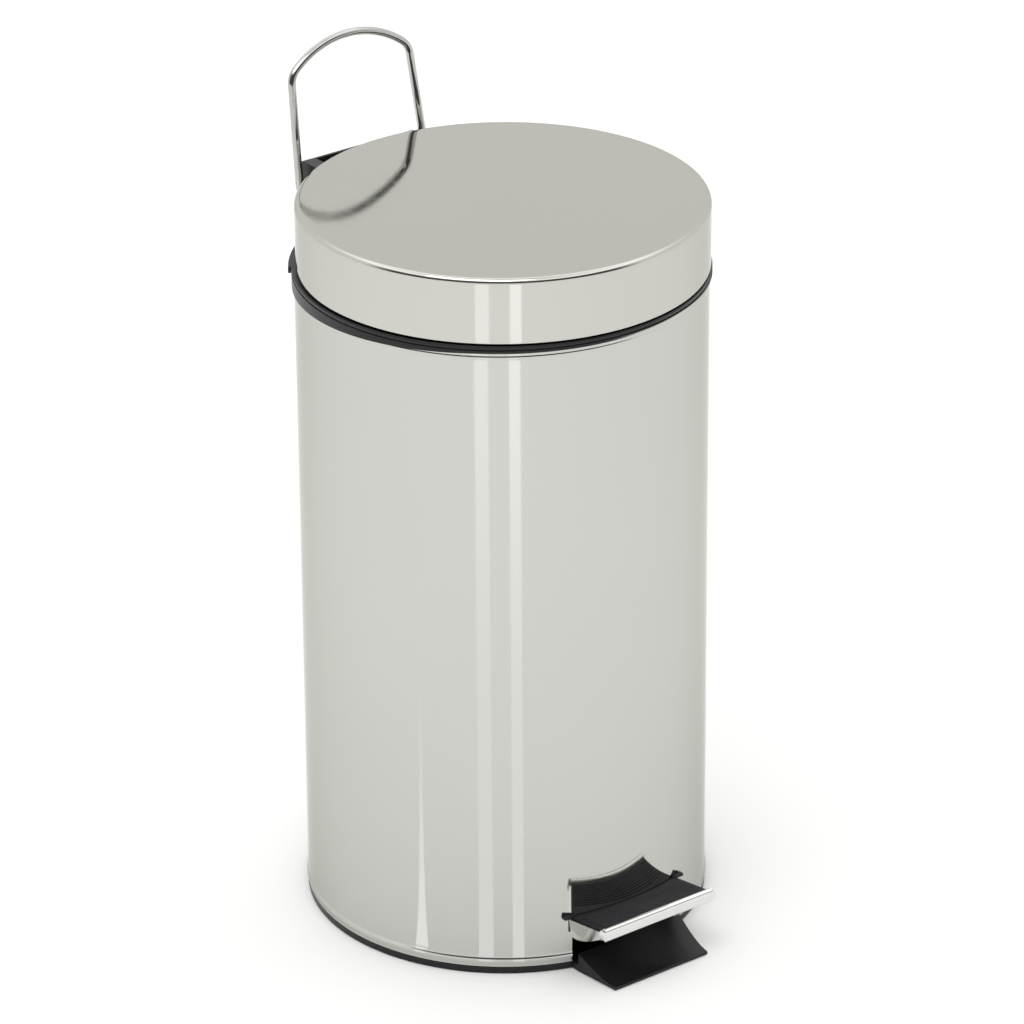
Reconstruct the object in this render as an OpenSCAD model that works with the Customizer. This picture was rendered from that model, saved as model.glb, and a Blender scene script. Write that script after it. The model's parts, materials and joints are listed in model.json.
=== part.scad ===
// Round steel pedal bin: a foot pedal works a long lever under the inner bucket, the lever
// lifts a push rod behind the bucket, and the rod swings the lid open on a rear hinge.
// The origin is the centre of the underside, +Z is up, and the pedal points along -Y.

/* [Body] */
// Outer diameter of the steel body
body_d = 250; // [230:1:300]
// Height of the steel body above the base ring
body_h = 411; // [330:1:520]
// Thickness of the steel sheet of the body
sheet_t = 0.8; // [0.6:0.1:1.2]
// Radius of the rolled top edge of the body
curl_r = 1.6; // [1.2:0.1:2.4]
// Width of the inward flange of the top edge
curl_w = 3.4; // [3:0.1:5]
// Height of the rolled bead at the foot of the body
bead_h = 7; // [5:0.5:10]
// How far the bead stands out
bead_out = 0.7; // [0.4:0.1:1.2]

/* [Base] */
// Visible height of the base ring
ring_h = 5; // [4:0.5:8]
// Thickness of the base floor
floor_t = 3; // [2:0.5:5]
// Wall of the base ring and of the spigot
base_wall = 2.4; // [1.6:0.2:4]
// Height of the spigot that plugs the body
spigot_h = 15; // [10:1:22]
// How far the front foot reaches past the body
foot_reach = 32; // [24:1:44]
// Width of the front foot at its tip
foot_tip_w = 72; // [56:1:76]
// How much narrower than the pedal the front foot is at the body, each side
foot_inset = 2.5; // [2:0.5:8]
// Height of the foot's ramp where it meets the body
foot_rise = 12; // [8:0.5:13]
// Thickness of the foot at its tip
foot_tip_t = 1.6; // [1.2:0.1:3]
// Diameter of the rubber pads
pad_d = 16; // [10:1:22]
// How far the rubber pads hold the base off the floor
pad_lift = 0.8; // [0.4:0.1:1.5]

/* [Collar] */
// Height of the black band under the lid
band_h = 4; // [3:0.5:7]
// How far the band stands out from the body
band_out = 1.4; // [1.2:0.1:2.5]
// Slope of the band's lower edge towards the back
rake = 2.6; // [2:0.1:5]
// Height of the upstand inside the lid
neck_h = 4; // [3:0.5:5]
// Wall of the collar's upstand and spigot
collar_wall = 2; // [1.4:0.1:3]
// Depth of the collar inside the body
collar_drop = 12; // [8:1:16]

/* [Lid] */
// How far the lid's side stands inside the body's, on the radius
lid_inset = 0.3; // [0:0.1:1.5]
// Height of the lid
lid_h = 41; // [36:1:52]
// Thickness of the lid's steel sheet
lid_t = 0.8; // [0.6:0.1:1.2]
// Rounding between the lid's top and its side
lid_edge_r = 3; // [2:0.5:8]
// How far the middle of the lid's top dips below its rim
lid_dish = 2.6; // [0:0.2:4]
// Height of the folded hem at the lid's lower edge
hem_h = 4; // [3:0.5:6]
// Gap between the closed lid and the collar
lid_gap = 1; // [0.8:0.1:2]
// How far the lid sits towards the front
lid_forward = 1.5; // [0:0.1:2]
// Height of the plastic liner ring in the lid
liner_h = 8; // [6:1:12]
// Angle through which the lid opens
lid_open = 65; // [40:1:65]

/* [Hinge] */
// Distance of the hinge pin behind the body
hinge_out = 6; // [5.5:0.5:8]
// Distance of the hinge pin below the lid's top
hinge_below = 19; // [18:0.5:22]
// Diameter of the hinge pin
pin_d = 5; // [4:0.5:6]
// Width of the hinge housing
housing_w = 84; // [80:1:104]
// Depth of the hinge housing behind the body
housing_depth = 22.6; // [21:0.2:28]
// How far the housing reaches below the collar
housing_below = 11; // [10:1:30]
// Height of the housing's screws above its lower edge
screw_up = 6; // [5:0.5:8]
// Height of the housing's top above the hinge pin
housing_top = 6; // [5:0.5:7]
// Thickness of the housing's side cheeks beside the pocket for the lid bracket
housing_cheek = 9; // [7:0.5:10]
// Radial thickness of the housing's side wings
wing_t = 1.9; // [1.5:0.1:5]
// Height of the side wings
wing_h = 4.5; // [4:0.5:16]
// Angle that each wing reaches round the body
wing_sweep = 55; // [35:1:70]

/* [Handle] */
// Diameter of the handle wire
handle_d = 5; // [3.5:0.5:6]
// Distance of each leg's foot beside the housing
handle_out = 6; // [5.5:0.5:10]
// How far each leg leans inwards up to its shoulder
handle_taper = 3.75; // [0:0.25:4.5]
// Height of the handle's top above its pivot
handle_h = 90; // [80:1:120]
// Height of the shoulders above the pivot
shoulder_h = 72.5; // [66:0.5:90]
// Angle at which the handle leans back at rest
handle_lean = 9.4; // [6:0.2:14]

/* [Pedal] */
// Width of the pedal plate
pedal_w = 84; // [82:1:92]
// How far the pedal reaches past the body
pedal_reach = 30; // [24:1:40]
// Height of the pedal plate at the body
pedal_z = 36; // [35:0.5:42]
// Upward slope of the pedal plate
pedal_slope = 9; // [6:0.5:12]
// Thickness of the pedal's steel
pedal_t = 1.6; // [1.2:0.1:2.5]
// Height of the turned-down front lip
lip_h = 8.6; // [6:0.2:10]
// Thickness of the front lip
lip_t = 4.6; // [3.6:0.2:6]
// Depth of the side flanges at the body
flange_h = 12; // [8:0.5:12]
// Thickness of the rubber tread
tread_t = 2.4; // [1.8:0.2:3.5]
// Number of ribs on the tread
tread_ribs = 9; // [3:1:12]
// Distance of the axle behind the centre
axle_y = 15; // [8:1:24]
// Height of the axle
axle_z = 24; // [23:0.5:26]
// Diameter of the axle
axle_d = 6; // [5:0.5:7]
// Width of the lever's channel
channel_w = 24; // [20:1:28]

/* [Rod] */
// Diameter of the push rod
rod_d = 4; // [3.5:0.5:5]
// Distance of the push rod from the body's inner wall
rod_wall = 5.7; // [5.2:0.1:6.5]
// Length of the pins at the rod's ends
rod_pin = 11; // [10.5:0.5:14]
// Bend radius of the rod's ends
rod_bend = 5; // [4:0.5:5.5]

/* [Bucket] */
// Gap between the bucket and the collar's opening
bucket_gap = 2; // [1.5:0.5:4]
// How much narrower the bucket is at its floor, on the radius
bucket_taper = 12; // [6:1:20]
// Height of the bucket's floor above the ground
bucket_floor_z = 62; // [58:1:80]
// Wall of the bucket
bucket_wall = 1.8; // [1.2:0.1:3]
// Width of the bucket's rim
rim_w = 4.6; // [4:0.2:6]
// Thickness of the bucket's rim
rim_t = 2.5; // [2:0.1:4]
// Diameter of the bail wire
bail_d = 3.5; // [3:0.5:4]
// Diameter of the bail's grip
grip_d = 9; // [8:0.5:10]

/* [Hidden] */
$fn = 96;

// Clearances, one name for each kind of fit
run_gap = 0.05;     // pin in its bore, on the radius
seat_gap = 0.05;    // one fixed piece beside another
slip_gap = 0.3;     // plug in its socket, on the radius
tread_gap = 0.4;     // tread beside the body
swing_gap = 1.2;    // moving piece beside a fixed one
corner_swell = 0.3; // a wire corner's ball beyond the wire, on the radius
slot_gap = 0.7;     // push rod's pin in its slot, which takes up the lever's arc

// Body and base
body_r = body_d / 2;
inner_r = body_r - sheet_t;
body_top = ring_h + body_h;
spigot_r = inner_r - slip_gap;
floor_top = ring_h;
pad_t = floor_top - floor_t;
foot_root_w = pedal_w - foot_inset * 2;
opening_w = foot_root_w;
opening_top = pedal_z + 1.2;

// Collar: the band lies on the body's flange and its ledge carries the bucket
band_r = body_r + band_out;
band_top = body_top + band_h;
collar_r = body_r - curl_w - slip_gap;
neck_r = body_r - 10;
ledge_r = neck_r - collar_wall - rim_w;
rake_y = -body_r + 20;

// Lid
lid_r = body_r - lid_inset;
lid_z = band_top + lid_gap;
lid_top = lid_z + lid_h;
lid_back = lid_r - lid_forward;

// Hinge
hinge_y = body_r + hinge_out;
hinge_z = lid_top - hinge_below;
knuckle_r = pin_d / 2 + 4;
housing_z = hinge_z + housing_top;
housing_low = body_top - collar_drop - housing_below;
housing_back = body_r + housing_depth;
pocket_w = housing_w - housing_cheek * 2;
housing_wall = 3;
ear_t = 2;
ear_x = pocket_w / 2 - 7;
notch_w = pocket_w - 2;
notch_top = housing_z + 1;
screw_d = 4;
screw_x = 25;
screw_z = housing_low + screw_up;

// Handle
handle_y = housing_back - 6.6;
handle_z = hinge_z - 12;
bush_r = handle_d / 2 + 2.2;
bush_depth = housing_cheek;
handle_foot_w = housing_w + handle_out * 2;
handle_top_w = handle_foot_w - handle_taper * 2;

// Push rod: its upper pin hangs in front of and below the hinge, its lower pin behind the axle
rod_r = rod_d / 2;
rod_y = inner_r - rod_wall;
pin_drop = 7;
rod_top = hinge_z - pin_drop;
rod_low = axle_z + 2;
arm_t = 2;
arm_x = rod_bend + 1.5;
crank_y = hinge_y - rod_y;
crank_angle = atan(pin_drop / crank_y);
rod_travel = crank_y * tan(lid_open - crank_angle) + pin_drop;
pedal_press = atan(rod_travel / (rod_y - axle_y));

// Pedal
pedal_back = body_r + swing_gap;
flange_lean = 4.8;
pedal_front = body_r + pedal_reach;
tread_front = pedal_front - lip_t - 0.2;
channel_h = 14;
channel_top = axle_z + 8;
plate_in = body_r - 22;
bracket_x = channel_w / 2 + 3;
bracket_t = 2;
bracket_foot = 18;
bracket_y = 20;

// Bucket
bucket_top = band_top + seat_gap;
bucket_r = ledge_r - bucket_gap;
bucket_low_r = bucket_r - bucket_taper;
rim_r = neck_r - collar_wall - 0.4;
bail_z = band_top + neck_h + grip_d / 2 + slip_gap;
bail_r = (bucket_r - bucket_wall + rim_r) / 2;
lug_t = 2.5;
bail_pin_r = bail_d / 2 + 0.35;
lug_x = bail_r - bail_d / 2 - 0.6 - lug_t;

// Points along an arc in the drawing plane
function arc(c, r, a0, a1, n = 8) =
    [for (i = [0:n]) c + r * [cos(a0 + (a1 - a0) * i / n), sin(a0 + (a1 - a0) * i / n)]];

// Outline of a sheet that bulges outwards between z0 and z0 + bead_h, at radius r
function bead(r, z0, n = 8) =
    [for (i = [0:n]) [r + bead_out * sin(180 * i / n), z0 + bead_h * i / n]];

function reversed(v) = [for (i = [len(v) - 1:-1:0]) v[i]];

// Height of the pedal plate's upper face at a distance d in front of the centre
function plate_z(d) = pedal_z + (d - body_r) * tan(pedal_slope);

module tube(r_in, r_out, z0, z1) {
    translate([0, 0, z0])
        difference() {
            cylinder(r = r_out, h = z1 - z0);
            translate([0, 0, -1]) cylinder(r = r_in, h = z1 - z0 + 2);
        }
}

// Cylinder along X between two places
module cross_pin(x0, x1, y, z, r) {
    translate([x0, y, z]) rotate([0, 90, 0]) cylinder(r = r, h = x1 - x0);
}

// Outline drawn as [y, z] points, made solid from x0 to x1
module side_plate(points, x0, x1) {
    translate([x0, 0, 0])
        rotate([90, 0, 90]) linear_extrude(x1 - x0) polygon(points);
}

// Outline drawn as [x, z] points, made solid from y0 to y1
module front_plate(points, y0, y1) {
    translate([0, y1, 0])
        rotate([90, 0, 0]) linear_extrude(y1 - y0) polygon(points);
}

// Bent wire in the XZ plane: an arc about c, from angle a0 to a1
module wire_arc(c, bend, a0, a1, r) {
    translate([c[0], 0, c[1]])
        rotate([90, 0, 0]) rotate([0, 0, a0])
            rotate_extrude(angle = a1 - a0) translate([bend, 0]) circle(r = r, $fn = 32);
}

// Straight wire in the XZ plane between two points
module wire(p, q, r) {
    d = q - p;
    translate([p[0], 0, p[1]])
        rotate([0, atan2(d[0], d[1]), 0]) cylinder(r = r, h = norm(d), $fn = 32);
}

// ---- Base ----

module foot_block() {
    root = sqrt(pow(body_r, 2) - pow(foot_root_w / 2, 2)) - 6;
    tip = body_r + foot_reach;
    ramp_y = tip - body_r;
    steps = 10;
    // The ramp is a concave quarter wave that rises towards the body
    ramp = [for (i = [0:steps])
        [-tip + ramp_y * i / steps,
         pad_lift + foot_tip_t + (foot_rise - foot_tip_t) * (1 - cos(90 * i / steps))]];
    outline = concat([[-tip, pad_lift]], ramp,
        [[-body_r + 0.5, pad_lift + foot_rise], [-body_r + 0.5, ring_h], [-root, ring_h], [-root, pad_lift]]);
    intersection() {
        side_plate(outline, -foot_root_w / 2, foot_root_w / 2);
        linear_extrude(foot_rise + 5)
            polygon([[-foot_tip_w / 2, -tip], [foot_tip_w / 2, -tip],
                [foot_root_w / 2, -body_r], [foot_root_w / 2, -root],
                [-foot_root_w / 2, -root], [-foot_root_w / 2, -body_r]]);
    }
}

module base() {
    color([0.11, 0.11, 0.12])
        difference() {
            union() {
                tube(body_r - base_wall * 2, body_r, pad_lift, ring_h);
                translate([0, 0, pad_t]) cylinder(r = body_r - base_wall, h = floor_t);
                difference() {
                    tube(spigot_r - base_wall, spigot_r, pad_t, ring_h + spigot_h);
                    translate([-foot_root_w / 2 - 1, -body_r - 1, ring_h])
                        cube([foot_root_w + 2, body_r / 2, spigot_h + 1]);
                }
                foot_block();
            }
            translate([0, -body_r - foot_reach / 2, pad_lift - 1])
                cylinder(r = pad_d / 2 + seat_gap, h = pad_t - pad_lift + 1);
            for (side = [-1, 1])
                translate([side * (bracket_x + bracket_foot / 2 + 1), axle_y, 0])
                    cylinder(r = screw_d / 2 + run_gap, h = ring_h + 1);
        }
}

module rubber_feet() {
    color([0.16, 0.16, 0.16]) {
        cylinder(d = pad_d, h = pad_t);
        for (a = [45:90:315])
            rotate([0, 0, a]) translate([body_r - 18, 0, 0]) cylinder(d = pad_d, h = pad_t);
        translate([0, -body_r - foot_reach / 2, 0]) cylinder(d = pad_d, h = pad_t);
    }
}

// ---- Body ----

module body_shell() {
    outside = concat([[body_r, ring_h]], bead(body_r, ring_h + 0.5),
        arc([body_r - curl_r, body_top - curl_r], curl_r, 0, 90));
    inside = concat([[inner_r, ring_h]], bead(inner_r, ring_h + 0.5),
        arc([body_r - curl_r, body_top - curl_r], curl_r - sheet_t, 0, 90));
    flange = [[body_r - curl_w, body_top], [body_r - curl_w, body_top - sheet_t]];
    corner = 4;
    half = opening_w / 2;
    window = concat([[-half, 0]], [[half, 0]],
        arc([half - corner, opening_top - corner], corner, 0, 90),
        arc([-half + corner, opening_top - corner], corner, 90, 180));
    color([0.78, 0.78, 0.76])
        difference() {
            rotate_extrude($fn = 180) polygon(concat(outside, flange, reversed(inside)));
            front_plate(window, -body_r - 5, -body_r / 2);
            for (side = [-1, 1])
                translate([side * screw_x, body_r / 2, screw_z])
                    rotate([-90, 0, 0]) cylinder(r = screw_d / 2 + slip_gap, h = body_r);
        }
}

// ---- Collar ----

module top_collar() {
    color([0.1, 0.1, 0.11])
        difference() {
            union() {
                rotate_extrude()
                    polygon(concat(
                        [[ledge_r, body_top]],
                        [[band_r - 0.8, body_top]],
                        arc([band_r - 0.8, band_top - 0.8], 0.8, 0, 90, 4),
                        [[neck_r, band_top], [neck_r, band_top + neck_h],
                         [neck_r - collar_wall, band_top + neck_h],
                         [neck_r - collar_wall, band_top], [ledge_r, band_top]]));
                tube(collar_r - collar_wall, collar_r, body_top - collar_drop, body_top + 1);
                difference() {
                    tube(body_r + 0.35, band_r, body_top - body_r, body_top + 1);
                    translate([0, rake_y, body_top]) rotate([-rake, 0, 0])
                        translate([-body_d, -body_d * 2, -body_d])
                            cube([body_d * 2, body_d * 4, body_d]);
                }
            }
            translate([0, rod_y, body_top - collar_drop - 1])
                cylinder(r = rod_r + slot_gap, h = collar_drop + band_h + 2);
            translate([-10, collar_r - collar_wall - 3, body_top - collar_drop - 1])
                cube([20, collar_wall + 6, collar_drop + 1]);
            for (side = [-1, 1])
                translate([side * screw_x, body_r / 2, screw_z])
                    rotate([-90, 0, 0]) cylinder(r = screw_d / 2 + slip_gap, h = body_r);
        }
}

module lid_buffers() {
    color([0.2, 0.2, 0.2])
        for (a = [-200, -90, 20])
            rotate([0, 0, a]) translate([lid_r - 4.5, 0, band_top])
                cylinder(d = 4.6, h = lid_gap - 0.1, $fn = 32);
}

// ---- Hinge housing ----

module hinge_housing() {
    low = housing_low;
    round_top = 1.5;
    round_low = 10;
    outline = concat([[body_r - 30, low]],
        arc([housing_back - round_low, low + round_low], round_low, -90, 0),
        arc([housing_back - round_top, housing_z - round_top], round_top, 0, 90),
        [[body_r - 30, housing_z]]);
    half = housing_w / 2;
    color([0.1, 0.1, 0.11])
        difference() {
            union() {
                side_plate(outline, -half, half);
                // Wings that hug the collar on both sides
                intersection() {
                    tube(band_r, band_r + wing_t, band_top - wing_h, band_top - 0.5);
                    for (side = [-1, 1]) {
                        linear_extrude(band_top)
                            polygon([[0, 0], [0, body_d],
                                [side * body_d, body_d],
                                [side * body_d * sin(wing_sweep), body_d * cos(wing_sweep)]]);
                    }
                }
            }
            translate([0, 0, low - 1]) cylinder(r = band_r + seat_gap, h = housing_z - low + 2, $fn = 180);
            // Pocket for the lid bracket, open to the front and the top
            translate([-pocket_w / 2, body_r - 20, low + 16])
                cube([pocket_w, housing_back - housing_wall - body_r + 20, housing_z - low]);
            cross_pin(-half - 1, half + 1, hinge_y, hinge_z, pin_d / 2 + run_gap);
            cross_pin(-half - 1, half + 1, handle_y, handle_z, bush_r + seat_gap);
            for (side = [-1, 1])
                translate([side * screw_x, body_r - 20, screw_z])
                    rotate([-90, 0, 0]) cylinder(r = screw_d / 2 + run_gap, h = 34);
        }
}

module housing_screws() {
    seat = sqrt(pow(inner_r, 2) - pow(screw_x + 4, 2)) - seat_gap;
    color([0.75, 0.75, 0.76])
        for (side = [-1, 1])
            translate([side * screw_x, seat, screw_z]) rotate([-90, 0, 0])
                difference() {
                    union() {
                        translate([0, 0, -2.4]) cylinder(d = 7.6, h = 2.4, $fn = 48);
                        cylinder(d = screw_d, h = 16, $fn = 48);
                    }
                    translate([0, 0, -3]) cylinder(r = 1.6, h = 1.8, $fn = 6);
                }
}

module hinge_pin() {
    half = housing_w / 2;
    color([0.8, 0.8, 0.8]) {
        cross_pin(-half - 0.1, half + 2.2, hinge_y, hinge_z, pin_d / 2);
        cross_pin(-half - 1.6, -half - 0.1, hinge_y, hinge_z, pin_d / 2 + 1.4);
    }
}

module hinge_pin_clip() {
    x0 = housing_w / 2 + 0.2;
    color([0.55, 0.55, 0.56])
        difference() {
            cross_pin(x0, x0 + 1, hinge_y, hinge_z, pin_d / 2 + 2);
            cross_pin(x0 - 1, x0 + 2, hinge_y, hinge_z, pin_d / 2 + seat_gap);
        }
}

// ---- Carry handle ----

module handle_bushes() {
    half = housing_w / 2;
    color([0.14, 0.14, 0.15])
        for (side = [-1, 1])
            scale([side, 1, 1])
                difference() {
                    union() {
                        cross_pin(half - bush_depth, half, handle_y, handle_z, bush_r);
                        cross_pin(half + seat_gap, half + 1.2, handle_y, handle_z, bush_r + 1.3);
                        cross_pin(half - 1, half + 1, handle_y, handle_z, bush_r - 0.1);
                    }
                    cross_pin(half - bush_depth - 1, half + 3, handle_y, handle_z,
                        handle_d / 2 + run_gap);
                }
}

// One leg of the handle in its own plane, with the pivot at [0, 0]; a ball fills each corner
module handle_leg() {
    foot = [handle_foot_w / 2, 0];
    shoulder = [handle_top_w / 2, shoulder_h];
    wire(foot, shoulder, handle_d / 2);
    wire([housing_w / 2 - bush_depth + 0.5, 0], foot, handle_d / 2);
    for (p = [foot, shoulder])
        translate([p[0], 0, p[1]]) sphere(r = handle_d / 2 + corner_swell);
}

module carry_handle() {
    rise = handle_h - shoulder_h;
    crown = (pow(handle_top_w / 2, 2) + pow(rise, 2)) / (2 * rise);
    meet = atan2(crown - rise, handle_top_w / 2);
    color([0.86, 0.86, 0.87])
        translate([0, handle_y, handle_z]) rotate([-handle_lean, 0, 0]) {
            handle_leg();
            mirror([1, 0, 0]) handle_leg();
            wire_arc([0, handle_h - crown], crown, meet, 180 - meet, handle_d / 2);
        }
}

// ---- Lid ----

// How far the lid's top lies below its rim at a distance r from its middle
function lid_dip(r) = lid_dish * (1 - pow(r / (lid_r - lid_edge_r), 2));

module lid_shell() {
    in_r = lid_r - lid_t;
    edge = [lid_r - lid_edge_r, lid_top - lid_edge_r];
    dish = [for (i = [0:4]) [edge[0] * i / 5, lid_top - lid_dip(edge[0] * i / 5)]];
    color([0.76, 0.76, 0.74])
        difference() {
            translate([0, -lid_forward, 0])
                rotate_extrude($fn = 180)
                    polygon(concat(
                        [for (p = dish) p - [0, lid_t]],
                        reversed(arc(edge, lid_edge_r - lid_t, 0, 90)),
                        [[in_r, lid_z + hem_h], [in_r - lid_t, lid_z + hem_h - 0.6]],
                        arc([lid_r - lid_t, lid_z + lid_t], lid_t, 180, 360),
                        arc(edge, lid_edge_r, 0, 90),
                        reversed(dish)));
            translate([-notch_w / 2, lid_back - 25, lid_z - 1])
                cube([notch_w, 40, notch_top - lid_z + 1]);
        }
}

module lid_liner() {
    r_out = lid_r - lid_t - seat_gap;
    top = lid_top - lid_edge_r - 0.3;
    color([0.13, 0.13, 0.14])
        difference() {
            translate([0, -lid_forward, 0])
                rotate_extrude()
                    polygon([[r_out - 7, top - 1.5], [r_out - 1.6, top - 1.5],
                        [r_out - 1.6, top - liner_h], [r_out, top - liner_h],
                        [r_out, top], [r_out - 7, top]]);
            translate([-notch_w / 2, lid_back - 30, lid_z])
                cube([notch_w, 60, lid_h]);
        }
}

module lid_bracket() {
    flat_y = lid_back - lid_edge_r - 6;
    plate_l = 26;
    // The chords of the lid's dished sheet reach a little below its curve
    under = lid_top - lid_t - lid_dip(flat_y - plate_l + lid_forward) - lid_dish * 0.01 - seat_gap;
    ear = concat(
        [[flat_y - 22, under - 1], [flat_y, under - 1], [flat_y + 5, notch_top - 1.6]],
        arc([hinge_y, hinge_z], knuckle_r - 0.5, 90, -90, 10),
        [[flat_y - 4, hinge_z - 2], [flat_y - 22, under - 6]]);
    slot_c = [rod_y, rod_top];
    away = [rod_y - hinge_y, rod_top - hinge_z] / norm([crank_y, pin_drop]);
    arm_r = rod_r + slot_gap + 2.2;
    arm_end = slot_c + away * 0.8;
    across = [-away[1], away[0]] * arm_r;
    arm = [[flat_y - 16, under - 1], [flat_y, under - 1], slot_c - away * 1.5 - across,
        arm_end - across, arm_end + across, slot_c - [9, -4]];
    color([0.6, 0.6, 0.61])
        difference() {
            union() {
                translate([-ear_x, flat_y - plate_l, under - ear_t])
                    cube([ear_x * 2, plate_l, ear_t]);
                for (side = [-1, 1])
                    scale([side, 1, 1]) side_plate(ear, ear_x - ear_t, ear_x);
                side_plate(arm, arm_x, arm_x + arm_t);
                cross_pin(arm_x, arm_x + arm_t, arm_end[0], arm_end[1], arm_r);
            }
            cross_pin(-ear_x - 1, ear_x + 1, hinge_y, hinge_z, pin_d / 2 + run_gap);
            // Slot for the rod's pin, pointing at the hinge
            translate([arm_x - 1, hinge_y, hinge_z])
                rotate([atan2(away[1], away[0]), 0, 0])
                    pin_slot(crank_y - 0.5, norm([crank_y, crank_y * tan(lid_open - crank_angle)]) + 0.5);
        }
}

// Slot along +Y from d0 to d1, for the pin of the push rod
module pin_slot(d0, d1) {
    r = rod_r + slot_gap;
    w = arm_t + 2;
    cross_pin(0, w, d0, 0, r);
    cross_pin(0, w, d1, 0, r);
    translate([0, d0, -r]) cube([w, d1 - d0, r * 2]);
}

// ---- Pedal ----

// Outline of the plate seen from above, with a rear edge that follows the body
module plate_outline(half, front, grow = 0) {
    difference() {
        translate([-half, -front]) square([half * 2, front]);
        circle(r = pedal_back + grow, $fn = 180);
    }
}

module pedal_plate() {
    half = pedal_w / 2;
    slab = [[-pedal_front + 1, plate_z(pedal_front - 1)], [-plate_in, plate_z(plate_in)],
        [-plate_in, plate_z(plate_in) - pedal_t],
        [-pedal_front + 1, plate_z(pedal_front - 1) - pedal_t]];
    intersection() {
        side_plate(slab, -half, half);
        linear_extrude(pedal_z * 3)
            union() {
                plate_outline(half, pedal_front);
                translate([-opening_w / 2 + 2, -pedal_front]) square([opening_w - 4, pedal_reach + 22]);
            }
    }
}

module pedal_lip() {
    half = pedal_w / 2 + 1.5;
    top = plate_z(pedal_front) + tread_t;
    r = lip_t / 2;
    nose = concat(
        arc([-pedal_front + r, top - r], r, 0, 180),
        arc([-pedal_front + r * 0.8, top - lip_h + r * 0.8], r * 0.8, 180, 270, 4),
        [[-pedal_front + lip_t, top - lip_h + 1.5]]);
    end_r = lip_h / 2 - 0.3;
    intersection() {
        side_plate(nose, -half, half);
        front_plate(concat(
            arc([half - end_r, top - end_r], end_r, 0, 90),
            arc([-half + end_r, top - end_r], end_r, 90, 180),
            arc([-half + end_r, top - lip_h + end_r], end_r, 180, 270),
            arc([half - end_r, top - lip_h + end_r], end_r, 270, 360)), -body_d, 0);
    }
}

module pedal_flanges() {
    half = pedal_w / 2;
    steps = 8;
    z_back = plate_z(pedal_back);
    run = tread_front - pedal_back;
    // The lower edge falls away from the lip in a quarter wave towards the body
    edge = [for (i = [0:steps])
        [-tread_front + run * i / steps + 0.5,
         plate_z(tread_front - run * i / steps) - 5 - (flange_h - 5) * sin(90 * i / steps)]];
    outline = concat([[-tread_front - 1, plate_z(tread_front) - 0.2],
        [-tread_front - 1, plate_z(tread_front) - 5]], edge, [[-pedal_back + 12, z_back - flange_h],
        [-pedal_back + 12, plate_z(pedal_back - 12) - 0.2]]);
    for (side = [-1, 1])
        scale([side, 1, 1])
            difference() {
                side_plate(outline, half - pedal_t, half);
                cylinder(r1 = pedal_back + flange_lean, r2 = pedal_back, h = pedal_z, $fn = 180);
                cylinder(r = pedal_back, h = pedal_z * 2, $fn = 180);
            }
}

module pedal_channel() {
    half = channel_w / 2;
    back = rod_y - 28;
    web = [[-body_r + 4, channel_top - 4], [axle_y, channel_top - channel_h],
        [back, channel_top - channel_h], [back, channel_top], [-body_r + 4, channel_top]];
    tail = [[back - 20, axle_z - 5], [rod_y + 3.2, rod_low - 4.6], [rod_y + 4.7, rod_low - 2.2],
        [rod_y + 4.7, rod_low + 2.2], [rod_y + 3.2, rod_low + 4.6], [back - 20, channel_top]];
    for (side = [-1, 1])
        scale([side, 1, 1]) side_plate(web, half - pedal_t, half);
    translate([-half, -body_r + 4, channel_top - pedal_t])
        cube([channel_w, back + body_r - 4, pedal_t]);
    side_plate(tail, arm_x, arm_x + arm_t);
    // Bridge that carries the plate's inner end down onto the channel
    side_plate([[-plate_in - 8, plate_z(plate_in + 8) - 0.4], [-plate_in, plate_z(plate_in)],
        [-plate_in + 10, channel_top], [-plate_in + 10, channel_top - pedal_t],
        [-plate_in - 8, channel_top - pedal_t]], -half, half);
}

module pedal_lever() {
    color([0.8, 0.8, 0.79])
        difference() {
            union() {
                pedal_plate();
                pedal_lip();
                pedal_flanges();
                pedal_channel();
            }
            cross_pin(-channel_w, channel_w, axle_y, axle_z, axle_d / 2 + run_gap);
            translate([arm_x - 1, 0, rod_low]) pin_slot(rod_y - 1.2, rod_y + 1.2);
        }
}

module pedal_tread() {
    half = pedal_w / 2 - 2;
    z0 = seat_gap;
    back = body_r + tread_gap;
    pitch = (tread_front - back - 4) / tread_ribs;
    base_line = [[-tread_front, plate_z(tread_front) + z0], [-body_r + 8, plate_z(body_r - 8) + z0]];
    pad = concat(base_line, [base_line[1] + [0, tread_t - 0.6], base_line[0] + [0, tread_t - 0.6]]);
    color([0.12, 0.12, 0.13])
        intersection() {
            union() {
                side_plate(pad, -half, half);
                for (i = [0:tread_ribs - 1]) {
                    d = tread_front - 2 - (i + 0.5) * pitch;
                    z = plate_z(d) + z0 + tread_t - 0.7;
                    side_plate([[-d - 0.9, z], [-d + 0.9, z], [-d + 0.5, z + 0.5],
                        [-d - 0.5, z + 0.5]], -half + 2, half - 2);
                }
                // Lugs that hook over the plate's rear corners
                for (side = [-1, 1])
                    translate([side * (half + 2) - 4, -back + 5, plate_z(back) + z0])
                        cube([8, 4, 1.8]);
            }
            linear_extrude(pedal_z * 3)
                difference() {
                    translate([-body_r, -tread_front]) square([body_d, tread_front]);
                    circle(r = back, $fn = 180);
                }
        }
}

module pedal_axle() {
    half = bracket_x + bracket_t + 3;
    color([0.7, 0.7, 0.71]) cross_pin(-half, half, axle_y, axle_z, axle_d / 2);
}

module axle_clips() {
    x0 = bracket_x + bracket_t + 0.3;
    color([0.5, 0.5, 0.51])
        for (side = [-1, 1])
            scale([side, 1, 1])
                difference() {
                    cross_pin(x0, x0 + 1, axle_y, axle_z, axle_d / 2 + 2.5);
                    cross_pin(x0 - 1, x0 + 2, axle_y, axle_z, axle_d / 2 + seat_gap);
                }
}

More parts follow.
